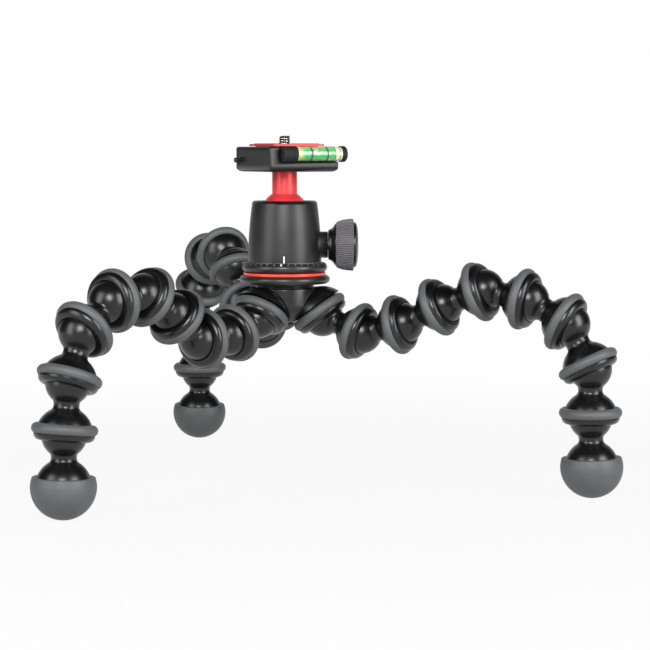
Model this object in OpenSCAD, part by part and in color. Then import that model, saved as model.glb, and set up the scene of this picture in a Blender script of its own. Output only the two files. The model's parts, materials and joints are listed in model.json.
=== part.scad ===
// Flexible leg tripod: three chains of ball and socket links snap into a moulded hub.
// On the hub stands a ball head with a panning base, a lock knob, a clamp and a release plate.
// The origin lies on the floor below the middle of the three feet, and +Z points up.

/* [Links] */
// Radius of the ball at the top of each link
ball_r = 11; // [10.5:0.1:11.5]
// Clearance between a ball and its socket
ball_fit = 0.15; // [0.1:0.05:0.25]
// Wall of the cup round a socket
cup_wall = 2.8; // [2.4:0.05:3]
// Gap between a ball and the back of its own cup
neck_gap = 0.25; // [0.2:0.05:1]
// Radius of the neck
neck_r = 6.2; // [5.4:0.1:6.4]
// How far the lip of a cup stands out from the cup
lip_step = 0.8; // [0.5:0.1:1.2]
// How far the lip reaches back past the ball centre
lip_back = 0.4; // [0.2:0.1:0.6]
// Length of the lip along the link, which is also the radius of its rounded front
lip_len = 3.2; // [2.8:0.1:3.4]

/* [Rubber] */
// Thickness of a grip ring over its cup
ring_band = 2; // [1.6:0.1:2.4]
// Radius of the round bead that a grip ring forms
ring_bulge = 2.7; // [2.4:0.1:3]
// Distance of that bead behind the ball centre
ring_back = 2.85; // [2.6:0.05:3.1]
// Radius of the ball at the end of a leg, under the rubber foot
foot_ball_r = 13.7; // [13:0.1:14.2]
// Gap between the last ball and the foot ball, bridged by the neck
foot_gap = 0.1; // [0.1:0.1:1]
// Wall of the rubber foot
foot_wall = 2.25; // [1.8:0.05:3]
// Height of the foot's rim above the foot's centre
foot_rim = 4.8; // [3.5:0.1:6]
// Gap between rubber and the piece it is stretched over
rubber_fit = 0.05; // [0.03:0.01:0.1]

/* [Hub] */
// Angle of the hub's sockets below the horizontal
socket_slope = 54; // [52:1:56]
// Gap between neighbouring grip rings of the hub
hub_ring_gap = 5.8; // [4.8:0.1:7]
// Heading of the right socket, counted from +X
hub_turn = -11; // [-14:1:-8]
// Radius of the hub's bowl shaped core
core_r = 16.8; // [16:0.1:17.6]
// Height of the core's centre above the socket centres
core_rise = 14; // [13:0.1:14.5]
// Height of the hub's top above the socket centres
hub_rise = 14.9; // [14:0.1:16]
// Room left in the hub round a grip ring
ring_room = 0.3; // [0.2:0.1:0.5]
// Radius of the stud that joins the head to the hub
stud_r = 4.7625; // [4:0.0025:5]
// Radius of the stud's flange
stud_flange_r = 7.2; // [6.4:0.1:7.6]
// Thickness of the stud's flange
stud_flange_h = 3; // [2:0.1:4]
// Depth of the stud below its flange
stud_root = 6; // [4:0.5:8]

/* [Platform] */
// Radius of the platform disc
platform_r = 24.5; // [23:0.1:27]
// Thickness of the platform disc
platform_h = 4.6; // [4.6:0.1:6]
// Radius of the rounded edge of the platform
platform_edge = 2.2; // [1.2:0.1:2.2]
// Height of the collar under the platform
collar_h = 2.7; // [2:0.1:4]
// Radius of the collar where it meets the hub
collar_r = 16.2; // [15:0.1:16.4]
// How far the collar narrows to the platform
collar_taper = 1; // [0.5:0.1:2]
// Radius of the accent ring
accent_r = 22.2; // [20:0.1:23.5]
// Thickness of the accent ring
accent_h = 1.4; // [1:0.1:3]
// Radius of the circle that the platform screws stand on
screw_circle = 11.5; // [10.8:0.1:12]
// Radius of a platform screw's shank
screw_r = 1.5; // [1.2:0.1:1.8]
// Radius of a platform screw's head
screw_head_r = 2.8; // [2.4:0.1:3]
// Length of a platform screw
screw_len = 14; // [11:0.5:15]

/* [Pan base] */
// Radius of the pan base
pan_r = 23.05; // [22:0.05:26]
// Thickness of the pan base
pan_h = 5.5; // [4.8:0.1:7]
// Radius of the rounded edge of the pan base
pan_edge = 2.65; // [1.5:0.05:2.65]
// Radius of the boss that the head turns on
boss_r = 9; // [8:0.1:10]
// Thickness of the boss over the stud's end
boss_cap = 2; // [1.5:0.1:2.5]
// Thickness of the slip washer under the head
washer_h = 0.3; // [0.2:0.1:0.6]
// Thickness of the spring clip that holds the head down
clip_h = 0.9; // [0.7:0.1:1.2]
// How far the spring clip reaches out of the boss
clip_reach = 1.6; // [1:0.1:2]
// Running clearance of shafts in their bores
run_fit = 0.05; // [0.02:0.01:0.1]

/* [Ball head] */
// Radius of the head's housing at its foot
crown_r = 19.85; // [19:0.05:21]
// How far the housing narrows to its top
crown_taper = 2.4; // [1:0.1:3]
// Bevel round the top of the housing
crown_edge = 0.8; // [0.3:0.1:1.2]
// Thickness of the housing's floor
floor_h = 4; // [3:0.1:4.4]
// Radius of the head's ball
head_ball_r = 12.8; // [12.2:0.1:13.4]
// Depth of the ball's centre below the top of the housing
ball_drop = 7.1; // [6.5:0.1:7.8]
// Wall between the ball's bore and the ball itself
seat_fit = 0.2; // [0.15:0.05:0.4]
// Thickness of the plastic seat at its foot, below the ball
seat_base = 0.6; // [0.4:0.1:1.2]
// Radius of the hole in the seat
seat_hole_r = 5; // [4:0.1:6]
// Radius of the stem above the ball
stem_r = 6.75; // [6:0.05:7.2]
// Height of the stem's top above the ball's centre
stem_len = 22.8; // [21:0.1:26]
// Room on each side of the stem in the drop notch
notch_room = 0.5; // [0.4:0.1:1]

/* [Lock knob] */
// Height of the knob's axis above the foot of the housing
knob_rise = 9.1; // [8.7:0.1:9.4]
// Radius of the boss that the knob stands on
knob_boss_r = 7.15; // [6:0.05:8]
// Distance of the boss's end from the head axis
knob_boss_x = 23.3; // [22:0.1:26]
// Gap between the boss and the knob
knob_gap = 0.3; // [0.2:0.1:0.6]
// Radius of the knob's threaded spindle
spindle_r = 3; // [2.5:0.1:3]
// Radius of the slip washer between the boss and the knob
knob_washer_r = 6.6; // [5.5:0.1:6.8]
// Depth of the spindle's outer end below the end cap
spindle_inset = 2; // [1.5:0.1:3]
// Length of the spindle's pointed end
spindle_tip = 4; // [2:0.5:5]
// Radius of the knob where it faces the boss
bell_r = 8; // [7:0.1:9]
// Length of the knob's bell
bell_len = 4.2; // [3:0.1:5]
// Radius of the core inside the grip
grip_core_r = 11; // [10:0.1:11.2]
// Radius of the grip at its inner end
grip_r = 11.95; // [11.9:0.05:13]
// How far the grip widens to its outer end
grip_flare = 2.1; // [0.5:0.1:3]
// Length of the grip
grip_len = 9.6; // [8:0.1:14]
// Number of ridges round the grip
grip_ridges = 88; // [60:2:100]
// Depth of the grooves between the ridges
grip_groove = 0.4; // [0.2:0.05:0.5]
// Radius of the knob's end cap
cap_r = 12.15; // [11.5:0.05:13]
// Thickness of the end cap
cap_h = 2.6; // [2:0.1:4]
// Radius of the end cap's domed face
cap_dome = 47; // [40:1:80]

/* [Clamp] */
// Turn of the clamp about the stem
clamp_yaw = 30; // [0:1:45]
// Length of the clamp along the level vial
clamp_l = 42; // [40:0.5:48]
// Width of the clamp across the level vial
clamp_w = 39; // [38:0.5:44]
// Height of the clamp
clamp_h = 13.5; // [13:0.1:16]
// Offset of the clamp from the stem, along the vial
clamp_shift = 1.5; // [0:0.1:3]
// Radius of the clamp's lower edges
clamp_round = 3; // [1.5:0.1:3.5]
// Radius of the clamp's upper edges
clamp_brim = 1.5; // [0.8:0.1:2]
// Radius of the clamp's upright corners
clamp_corner = 0.8; // [0.4:0.1:1.5]
// Wall at the closed end of the plate's channel
stop_wall = 5.1; // [4.9:0.1:6]
// Radius of the spigot on top of the stem
spigot_r = 4.5; // [4.2:0.1:5.5]
// Height of the spigot on top of the stem
spigot_h = 3; // [2:0.1:4]
// Radius of the screw that holds the clamp on the stem
stem_screw_r = 2; // [1.5:0.1:2.5]
// Radius of that screw's head
stem_head_r = 3.6; // [3:0.1:4]
// Height of that screw's head
stem_head_h = 3; // [2:0.1:3.2]
// Length of that screw's shank
stem_screw_len = 13; // [10:0.5:16]
// Radius of the release button
button_r = 1.35; // [1:0.05:1.6]
// How far the release button stands out of the clamp
button_out = 2.2; // [1.5:0.1:3]
// Travel of the release button
button_travel = 1.2; // [0.6:0.1:1.4]
// Length of the release button
button_len = 13.7; // [8:0.1:15]
// Height of the release button's axis above the clamp's base
button_z = 6.2; // [5:0.1:6.4]
// Distance of the release button's axis from the clamp's back
button_in = 4.3; // [3:0.1:6]

/* [Release plate] */
// Length of the plate along the vial
plate_l = 31; // [29:0.5:36]
// Width of the plate, along its slide
plate_w = 29.5; // [26:0.5:31]
// Thickness of the plate above the clamp
flange_h = 1.1; // [0.9:0.1:2]
// Gap between the plate and the top of the clamp
plate_gap = 0.3; // [0.2:0.1:0.6]
// Width of the dovetail at its foot
dovetail_w = 26.4; // [24:0.1:28]
// How far each flank of the dovetail leans in
dovetail_lean = 2.2; // [1:0.1:3]
// Depth of the dovetail below the top of the clamp
dovetail_h = 4.7; // [4:0.1:5]
// Sliding clearance round the dovetail
plate_fit = 0.2; // [0.1:0.05:0.3]
// Corner radius of the plate
plate_corner = 1.5; // [0.5:0.1:3]
// Margin of the rubber pad inside the plate's edge
pad_margin = 2; // [1.5:0.1:4]
// Thickness of the rubber pad
pad_h = 0.7; // [0.6:0.05:1]
// How far the rubber pad stands above the plate
pad_proud = 0.3; // [0.2:0.05:0.5]
// Outer radius of the camera screw, a quarter inch across
camera_r = 3.175; // [3.175:0.0005:4.7625]
// Height of the camera screw above the plate
camera_len = 4.6; // [4:0.1:6]
// Radius of the camera screw's captive neck inside the plate
camera_neck_r = 2.6; // [2.2:0.1:2.9]
// Bevel at the tip of the camera screw
camera_tip = 0.5; // [0.3:0.1:0.8]
// Radius of the camera screw's head
camera_head_r = 6; // [5.5:0.1:7]
// Height of the camera screw's head
camera_head_h = 2.2; // [1.6:0.1:2.6]
// Width of the slot in the camera screw's head
slot_w = 1.2; // [0.8:0.1:1.6]
// Depth of that slot
slot_h = 1; // [0.5:0.1:1.2]

/* [Level vial] */
// Outer radius of the vial's tube
vial_r = 3.85; // [3.4:0.05:4]
// Wall of the vial's tube
vial_wall = 0.95; // [0.6:0.05:1.2]
// Height of the vial's axis above the clamp's base
vial_z = 9.5; // [9:0.1:10]
// Start of the glass between its caps, from the clamp's middle
vial_start = -5.7; // [-8:0.1:-4]
// Length of glass between its caps
vial_window = 27.2; // [24:0.1:30]
// Radius of the vial's caps
vial_cap_r = 4.3; // [4.2:0.05:4.4]
// Length of the long cap
long_cap = 8.7; // [5:0.1:10]
// Length of the short cap
short_cap = 2.9; // [2:0.1:4]
// How deep the tube sits in each cap
vial_seat = 0.8; // [0.5:0.1:1.5]
// Room round the caps in the clamp's groove
groove_room = 0.2; // [0.1:0.05:0.3]
// Length of the bubble
bubble_len = 4.8; // [3:0.1:8]
// Place of the bubble's middle, from the clamp's middle
bubble_at = 6; // [4:0.1:11]
// Radius of the bubble
bubble_r = 1.7; // [1:0.1:2.2]

/* [Pose] */
// Sum of the sines of a leg's downward pitches, the same on every leg so that all feet touch the floor
leg_fall = 1.83; // [1.81:0.01:1.85]
// Pitch of the last piece of every leg
foot_pitch = -88; // [-89:1:-86]

/* [Hidden] */
$fn = 96;
hull_fn = 32;
bow_fn = 1440;
cut = 1;
sides = 120;
LEGS = ["right", "left", "rear"];
link_count = 8;

// Heading of each leg's plane and the pitch of its links, with the knee left free
leg_heading = [-28, -126, 112];
leg_pitch = [
    [-19, 14, 25, 20, -10, undef, -62, -89],
    [-17, -1, 35, 26, -4, undef, -68, -83],
    [-16, 21, 54, 18, -15, undef, -85, -90]
];

// Radii and lengths of the links, rings and feet
socket_r = ball_r + ball_fit;
cup_r = socket_r + cup_wall;
link_len = ball_r + neck_gap + cup_r;
lip_r = cup_r + lip_step;
lip_core = lip_r - lip_len;
ring_in = cup_r + rubber_fit;
ring_r = ring_in + ring_band;
foot_len = ball_r + foot_gap + foot_ball_r;
foot_in = foot_ball_r + rubber_fit;
foot_r = foot_in + foot_wall;

// The circle of the hub's sockets, set by the gap between neighbouring grip rings
half_side = sin(sides / 2);
ring_side = ring_r * sqrt(1 - pow(cos(socket_slope) * half_side, 2));
socket_circle = (ring_side + hub_ring_gap / 2) / half_side + ring_back * cos(socket_slope);

// Heights above the floor, stacked from the feet to the camera screw
socket_z = foot_r + link_len * leg_fall - foot_len * sin(foot_pitch);
core_z = socket_z + core_rise;
hub_z = socket_z + hub_rise;
platform_z = hub_z + collar_h;
accent_z = platform_z + platform_h;
pan_z = accent_z + accent_h;
washer_z = pan_z + pan_h;
crown_z = washer_z + washer_h;
floor_z = crown_z + floor_h;
clip_z = floor_z + run_fit;
boss_z = clip_z + 1.6 * clip_h;
knob_z = crown_z + knob_rise;
seat_z = knob_z + spindle_r + knob_gap;
ball_z = seat_z + seat_base + head_ball_r;
crown_top = ball_z + ball_drop;
crown_h = crown_top - crown_z;
clamp_z = ball_z + stem_len;
stud_z = hub_z - stud_flange_h;
stud_top = boss_z - boss_cap;

// Radii inside the head
head_socket_r = head_ball_r + run_fit;
seat_r = head_ball_r + seat_fit - run_fit;
bore_r = head_ball_r + seat_fit;
crown_bow = (crown_h * crown_h + crown_taper * crown_taper) / (2 * crown_taper);
notch_r = stem_r + notch_room;

// Places along the knob's axis, from the head axis outwards
knob_x = knob_boss_x + knob_gap;
grip_x = knob_x + bell_len;
cap_x = grip_x + grip_len;
spindle_end = cap_x - spindle_inset;

// Places in the clamp, from the stem's axis at the clamp's base
clamp_left = clamp_shift - clamp_l / 2;
clamp_front = -clamp_w / 2;
clamp_back = clamp_w / 2;
stop_y = clamp_front + stop_wall;
plate_y = stop_y + plate_fit;
dovetail_z = clamp_h - dovetail_h;
flange_z = clamp_h + plate_gap;
plate_top = flange_z + flange_h;
pad_top = plate_top + pad_proud;
channel_z = dovetail_z - plate_fit;
camera_z = dovetail_z + plate_fit;
camera_end = plate_top + camera_len;
vial_end = vial_start + vial_window;

// Sums, pitches and directions along a leg
function total(list, i = 0) = i == len(list) ? 0 : list[i] + total(list, i + 1);
function sines(leg) = total([for (p = leg_pitch[leg]) is_undef(p) ? 0 : sin(p)]);
function knee_pitch(leg) = asin(-leg_fall - sines(leg));
function link_pitch(leg, p) = is_undef(p) ? knee_pitch(leg) : p;
function pitch(leg, i) = i == link_count ? foot_pitch : link_pitch(leg, leg_pitch[leg][i]);
function aim(p, h) = [cos(p) * cos(h), cos(p) * sin(h), sin(p)];
function socket_heading(leg) = hub_turn + [0, -sides, sides][leg];
function socket_at(leg) = socket_circle * aim(0, socket_heading(leg)) + [0, 0, socket_z];
function step(leg, i) = link_len * aim(pitch(leg, i), leg_heading[leg]);
function joint_at(leg, i) = i == 0 ? socket_at(leg) : joint_at(leg, i - 1) + step(leg, i - 1);
function foot_at(leg) = joint_at(leg, link_count) + foot_len * aim(foot_pitch, leg_heading[leg]);

// Middle of the feet, which the origin lies below
feet_x = [for (leg = [0:2]) foot_at(leg)[0]];
feet_y = [for (leg = [0:2]) foot_at(leg)[1]];
middle = [(min(feet_x) + max(feet_x)) / 2, (min(feet_y) + max(feet_y)) / 2];

link_names = [for (leg = LEGS, i = [1:link_count]) str(leg, "_link_", i)];
foot_link_names = [for (leg = LEGS) str(leg, "_foot_link")];
foot_names = [for (leg = LEGS) str(leg, "_foot")];
head_names = [
    "hub_body", "hub_rings", "hub_stud", "platform", "platform_screws", "accent_ring",
    "pan_base", "pan_washer", "pan_clip", "housing", "ball_seat", "ball_stem",
    "lock_spindle", "knob_washer", "knob_body", "knob_grip", "knob_cap",
    "clamp_body", "stem_screw", "release_button", "vial_tube", "vial_fluid", "vial_caps",
    "plate", "plate_pad", "camera_screw"
];

// Frames that the pieces are drawn in
module at_head() {
    translate([-middle[0], -middle[1], 0]) children();
}
module at_socket(leg) {
    at_head() translate(socket_at(leg)) rotate([0, 90 + socket_slope, socket_heading(leg)]) children();
}
module at_joint(leg, i) {
    at_head() translate(joint_at(leg, i)) rotate([0, 90 - pitch(leg, i), leg_heading[leg]]) children();
}
module at_knob() {
    at_head() translate([0, 0, knob_z]) rotate([0, 90, 0]) children();
}
module at_clamp() {
    at_head() translate([0, 0, clamp_z]) rotate(clamp_yaw) children();
}
module at_vial() {
    at_clamp() translate([clamp_shift, clamp_front, vial_z]) rotate([0, 90, 0]) children();
}
module at_screws() {
    for (leg = [0:2])
        at_head() rotate(socket_heading(leg) + sides / 2) translate([screw_circle, 0, accent_z]) children();
}

// Half profiles, with the axis of revolution at x = 0
module half_disc(r) {
    intersection() {
        circle(r);
        translate([0, -r]) square([r, 2 * r]);
    }
}
module cup_profile() {
    intersection() {
        half_disc(cup_r);
        translate([0, -cup_r]) square([cup_r, cup_r - lip_back]);
    }
    translate([0, -lip_back - cut]) square([lip_core, lip_len + cut]);
    intersection() {
        translate([lip_core, -lip_back]) circle(lip_len);
        translate([lip_core, -lip_back]) square(lip_len);
    }
}
module bead(room) {
    translate([ring_r - ring_bulge, -ring_back]) circle(ring_bulge + room);
}
module ring_profile() {
    difference() {
        bead(0);
        circle(ring_in);
        translate([0, -lip_back - rubber_fit]) square([ring_r + cut, ring_r]);
    }
}
module ring_groove() {
    difference() {
        bead(ring_room);
        circle(cup_r - rubber_fit);
        translate([0, -lip_back]) square([ring_r + cut, ring_r]);
    }
}

// A link with its snap-on rubber ring
module link(leg, i) {
    at_joint(leg, i) {
        color("#1b1b1d") rotate_extrude() difference() {
            union() {
                half_disc(ball_r);
                square([neck_r, link_len]);
                translate([0, link_len]) cup_profile();
            }
            translate([0, link_len]) circle(socket_r);
        }
        color("#63686b") translate([0, 0, link_len]) rotate_extrude() ring_profile();
    }
}

// The last piece of a leg: a ball, a neck and the ball that carries the rubber foot
module foot_link(leg) {
    color("#1b1b1d") at_joint(leg, link_count) rotate_extrude() {
        half_disc(ball_r);
        square([neck_r, foot_len]);
        translate([0, foot_len]) half_disc(foot_ball_r);
    }
}
module foot(leg) {
    color("#5a5f62") at_joint(leg, link_count) translate([0, 0, foot_len]) rotate_extrude() difference() {
        intersection() {
            half_disc(foot_r);
            translate([0, -foot_rim]) square([foot_r, foot_rim + foot_r]);
        }
        circle(foot_in);
    }
}

// The hub: a bowl shaped core and three socket cups, grooved for the grip rings
module hub_body() {
    color("#1b1b1d") difference() {
        union() {
            at_head() intersection() {
                translate([0, 0, core_z]) sphere(core_r);
                translate([0, 0, core_z - core_r - cut])
                    cylinder(r = core_r + cut, h = hub_z - core_z + core_r + cut);
            }
            for (leg = [0:2])
                at_socket(leg) rotate_extrude() cup_profile();
        }
        for (leg = [0:2])
            at_socket(leg) {
                sphere(socket_r);
                rotate_extrude() ring_groove();
            }
        at_head() translate([0, 0, stud_z - stud_root - cut])
            cylinder(r = stud_r + run_fit, h = stud_root + 2 * cut);
        at_head() translate([0, 0, stud_z]) cylinder(r = stud_flange_r + run_fit, h = stud_flange_h + cut);
        at_screws() translate([0, 0, -screw_len - cut]) cylinder(r = screw_r + run_fit, h = screw_len);
    }
}
module hub_rings() {
    color("#63686b") for (leg = [0:2])
        at_socket(leg) rotate_extrude() ring_profile();
}
module hub_stud() {
    color("silver") at_head() {
        translate([0, 0, stud_z - stud_root]) cylinder(r = stud_r, h = stud_top - stud_z + stud_root);
        translate([0, 0, stud_z]) cylinder(r = stud_flange_r, h = stud_flange_h);
    }
}

// The platform disc with its collar, screwed to the hub, and the accent ring on top
module platform() {
    color("#232325") difference() {
        at_head() rotate_extrude() {
            translate([0, platform_z]) square([platform_r - platform_edge, platform_h]);
            translate([platform_r - platform_edge, platform_z + platform_h / 2]) circle(platform_edge);
            polygon([
                [0, hub_z], [collar_r, hub_z], [collar_r - collar_taper, platform_z], [0, platform_z + cut],
            ]);
        }
        at_head() translate([0, 0, hub_z - cut])
            cylinder(r = stud_r + run_fit, h = collar_h + platform_h + 2 * cut);
        at_screws() {
            translate([0, 0, -screw_len]) cylinder(r = screw_r + run_fit, h = screw_len + cut);
            translate([0, 0, screw_r - screw_head_r])
                cylinder(r1 = screw_r + run_fit, r2 = screw_head_r + run_fit, h = screw_head_r - screw_r);
        }
    }
}
module platform_screws() {
    color("silver") at_screws() {
        translate([0, 0, -screw_len]) cylinder(r = screw_r, h = screw_len - run_fit);
        translate([0, 0, screw_r - screw_head_r])
            cylinder(r1 = screw_r, r2 = screw_head_r, h = screw_head_r - screw_r - run_fit);
    }
}
module accent_ring() {
    color("#d8372f") at_head() translate([0, 0, accent_z]) difference() {
        cylinder(r = accent_r, h = accent_h);
        translate([0, 0, -cut]) cylinder(r = stud_r + run_fit, h = accent_h + 2 * cut);
    }
}

// The pan base and its boss, and what holds the turning head on it
module pan_base() {
    color("#232325") at_head() difference() {
        union() {
            rotate_extrude() {
                translate([0, pan_z]) square([pan_r - pan_edge, pan_h]);
                translate([pan_r - pan_edge, pan_z + pan_h / 2]) circle(pan_edge);
            }
            translate([0, 0, washer_z]) cylinder(r = boss_r, h = boss_z - washer_z);
        }
        translate([0, 0, pan_z - cut]) cylinder(r = stud_r + run_fit, h = stud_top + run_fit - pan_z + cut);
        translate([0, 0, clip_z]) difference() {
            cylinder(r = boss_r + cut, h = clip_h + run_fit);
            translate([0, 0, -cut]) cylinder(r = boss_r - clip_h, h = clip_h + 2 * cut);
        }
    }
}
module pan_washer() {
    color("white") at_head() translate([0, 0, washer_z]) difference() {
        cylinder(r = crown_r - crown_edge, h = washer_h - run_fit);
        translate([0, 0, -cut]) cylinder(r = boss_r + run_fit, h = washer_h + 2 * cut);
    }
}
module pan_clip() {
    color("silver") at_head() translate([0, 0, clip_z]) difference() {
        cylinder(r = boss_r + clip_reach, h = clip_h);
        translate([0, 0, -cut]) cylinder(r = boss_r - clip_h + run_fit, h = clip_h + 2 * cut);
        translate([0, -stud_r / 2, -cut]) cube([boss_r + clip_reach + cut, stud_r, clip_h + 2 * cut]);
    }
}

// The housing of the ball, with the drop notch at the back and the knob's boss at the right
module housing() {
    color("#2b2b2c") at_head() difference() {
        union() {
            rotate_extrude() intersection() {
                translate([crown_r - crown_bow, crown_z]) circle(crown_bow, $fn = bow_fn);
                polygon([
                    [0, crown_z], [crown_r + cut, crown_z], [crown_r + cut, crown_top - crown_edge],
                    [crown_r - crown_taper, crown_top - crown_edge],
                    [crown_r - crown_taper - crown_edge, crown_top], [0, crown_top]
                ]);
            }
            translate([bore_r, 0, knob_z]) rotate([0, 90, 0])
                cylinder(r = knob_boss_r, h = knob_boss_x - bore_r);
        }
        translate([0, 0, ball_z]) sphere(head_socket_r);
        translate([0, 0, floor_z]) cylinder(r = bore_r, h = ball_z - floor_z);
        translate([0, 0, crown_z - cut]) cylinder(r = boss_r + run_fit, h = floor_h + 2 * cut);
        translate([0, 0, knob_z]) rotate([0, 90, 0])
            cylinder(r = spindle_r + run_fit, h = knob_boss_x + cut);
        translate([0, 0, ball_z]) rotate([-90, 0, 0]) cylinder(r = notch_r, h = crown_r + cut);
        translate([-notch_r, 0, ball_z]) cube([2 * notch_r, crown_r + cut, ball_drop + cut]);
    }
}
module ball_seat() {
    color("#d9d6cc") at_head() difference() {
        translate([0, 0, seat_z]) cylinder(r = seat_r, h = ball_z - notch_r - seat_z);
        translate([0, 0, ball_z]) sphere(head_socket_r + run_fit);
        translate([0, 0, seat_z - cut]) cylinder(r = seat_hole_r, h = head_ball_r);
    }
}
module ball_stem() {
    color("#c8323a") difference() {
        union() {
            at_head() translate([0, 0, ball_z]) {
                sphere(head_ball_r);
                cylinder(r = stem_r, h = stem_len);
            }
            at_clamp() cylinder(r = spigot_r, h = spigot_h);
        }
        at_clamp() translate([0, 0, channel_z - stem_head_h - plate_fit - stem_screw_len - cut])
            cylinder(r = stem_screw_r + run_fit, h = stem_screw_len + 2 * cut);
    }
}

// The lock knob on its pointed spindle, with a slip washer in the gap to the boss
module lock_spindle() {
    color("silver") at_knob() {
        cylinder(r = spindle_r, h = spindle_end);
        translate([0, 0, -spindle_tip]) cylinder(r1 = spindle_r / 3, r2 = spindle_r, h = spindle_tip);
    }
}
module knob_washer() {
    color("#1b1b1d") at_knob() translate([0, 0, knob_boss_x + run_fit]) difference() {
        cylinder(r = knob_washer_r, h = knob_gap - 2 * run_fit);
        translate([0, 0, -cut]) cylinder(r = spindle_r + run_fit, h = knob_gap + 2 * cut);
    }
}
module knob_body() {
    color("#1b1b1d") at_knob() difference() {
        rotate_extrude() polygon([
            [0, knob_x], [bell_r, knob_x], [grip_r, grip_x], [grip_core_r - rubber_fit, grip_x],
            [grip_core_r - rubber_fit, cap_x], [0, cap_x]
        ]);
        translate([0, 0, knob_x - cut])
            cylinder(r = spindle_r + run_fit, h = spindle_end + run_fit - knob_x + cut);
    }
}
module knob_grip() {
    corners = 2 * grip_ridges;
    color("#58565c") at_knob() translate([0, 0, grip_x + rubber_fit]) difference() {
        linear_extrude(grip_len - 2 * rubber_fit, scale = (grip_r + grip_flare) / grip_r)
            polygon([
                for (i = [0:corners - 1])
                    (grip_r - (i % 2) * grip_groove) * [cos(360 * i / corners), sin(360 * i / corners)]
            ]);
        translate([0, 0, -cut]) cylinder(r = grip_core_r, h = grip_len + 2 * cut);
    }
}
module knob_cap() {
    color("#1b1b1d") at_knob() rotate_extrude() intersection() {
        translate([0, cap_x]) square([cap_r, cap_h + cut]);
        translate([0, cap_x + cap_h - cap_dome]) circle(cap_dome, $fn = bow_fn);
    }
}

// The clamp block: a blind dovetail channel on top, open at the back, and a groove for the vial in front
module dovetail(grow, top) {
    foot_half = dovetail_w / 2 + grow;
    top_half = foot_half - dovetail_lean;
    foot_z = dovetail_z - grow;
    polygon([[-foot_half, foot_z], [foot_half, foot_z], [top_half, top], [-top_half, top]]);
}
module rounded_bar(size, height, low, high) {
    hull() for (x = [0, 1]) {
        translate([x == 0 ? low : size - low, low]) circle(low, $fn = hull_fn);
        translate([x == 0 ? high : size - high, height - high]) circle(high, $fn = hull_fn);
    }
}
module clamp_block() {
    translate([clamp_left, clamp_front, 0]) intersection() {
        linear_extrude(clamp_h) rounded_bar(clamp_l, clamp_w, clamp_corner, clamp_corner);
        translate([0, clamp_w + cut, 0]) rotate([90, 0, 0])
            linear_extrude(clamp_w + 2 * cut) rounded_bar(clamp_l, clamp_h, clamp_round, clamp_brim);
        translate([-cut, 0, 0]) rotate([90, 0, 90])
            linear_extrude(clamp_l + 2 * cut) rounded_bar(clamp_w, clamp_h, clamp_round, clamp_brim);
    }
}
module clamp_body() {
    groove_r = vial_cap_r + groove_room;
    color("#232325") difference() {
        at_clamp() clamp_block();
        at_clamp() translate([clamp_shift, clamp_back + cut, 0]) rotate([90, 0, 0])
            linear_extrude(clamp_back + cut - stop_y) dovetail(plate_fit, flange_z);
        at_clamp() translate([0, 0, -cut]) cylinder(r = spigot_r + run_fit, h = spigot_h + run_fit + cut);
        at_clamp() translate([0, 0, -cut]) cylinder(r = stem_screw_r + run_fit, h = clamp_h);
        at_clamp() translate([0, 0, channel_z - stem_head_h - plate_fit])
            cylinder(r = stem_head_r + run_fit, h = clamp_h);
        at_vial() translate([0, 0, vial_start - long_cap - groove_room])
            cylinder(r = groove_r, h = clamp_l);
        at_clamp() translate([clamp_left - cut, clamp_back - button_in, button_z]) rotate([0, 90, 0])
            cylinder(r = button_r + run_fit, h = button_len - button_out + button_travel + 2 * cut);
    }
}
module stem_screw() {
    color("silver") at_clamp() translate([0, 0, channel_z - stem_head_h - plate_fit]) {
        cylinder(r = stem_head_r, h = stem_head_h);
        translate([0, 0, -stem_screw_len]) cylinder(r = stem_screw_r, h = stem_screw_len);
    }
}
module release_button() {
    color("#2b2b2c") at_clamp() translate([clamp_left - button_out, clamp_back - button_in, button_z])
        rotate([0, 90, 0]) cylinder(r = button_r, h = button_len);
}

// The level vial: tube, coloured fluid with its bubble, and two caps
module vial_tube() {
    color("#d7f0d0", 0.5) at_vial() translate([0, 0, vial_start - vial_seat + run_fit]) difference() {
        cylinder(r = vial_r, h = vial_window + 2 * (vial_seat - run_fit));
        translate([0, 0, -cut]) cylinder(r = vial_r - vial_wall, h = vial_window + 2 * vial_seat + 2 * cut);
    }
}
module vial_fluid() {
    fluid_r = vial_r - vial_wall - run_fit;
    color("#38b56a") at_vial() difference() {
        translate([0, 0, vial_start]) cylinder(r = fluid_r, h = vial_window);
        translate([-fluid_r, 0, bubble_at - bubble_len / 2]) cylinder(r = bubble_r, h = bubble_len);
    }
}
module vial_caps() {
    color("#1b1b1d") at_vial() difference() {
        union() {
            translate([0, 0, vial_start - long_cap]) cylinder(r = vial_cap_r, h = long_cap);
            translate([0, 0, vial_end]) cylinder(r = vial_cap_r, h = short_cap);
        }
        translate([0, 0, vial_start - vial_seat])
            cylinder(r = vial_r + run_fit, h = vial_window + 2 * vial_seat);
    }
}

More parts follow.
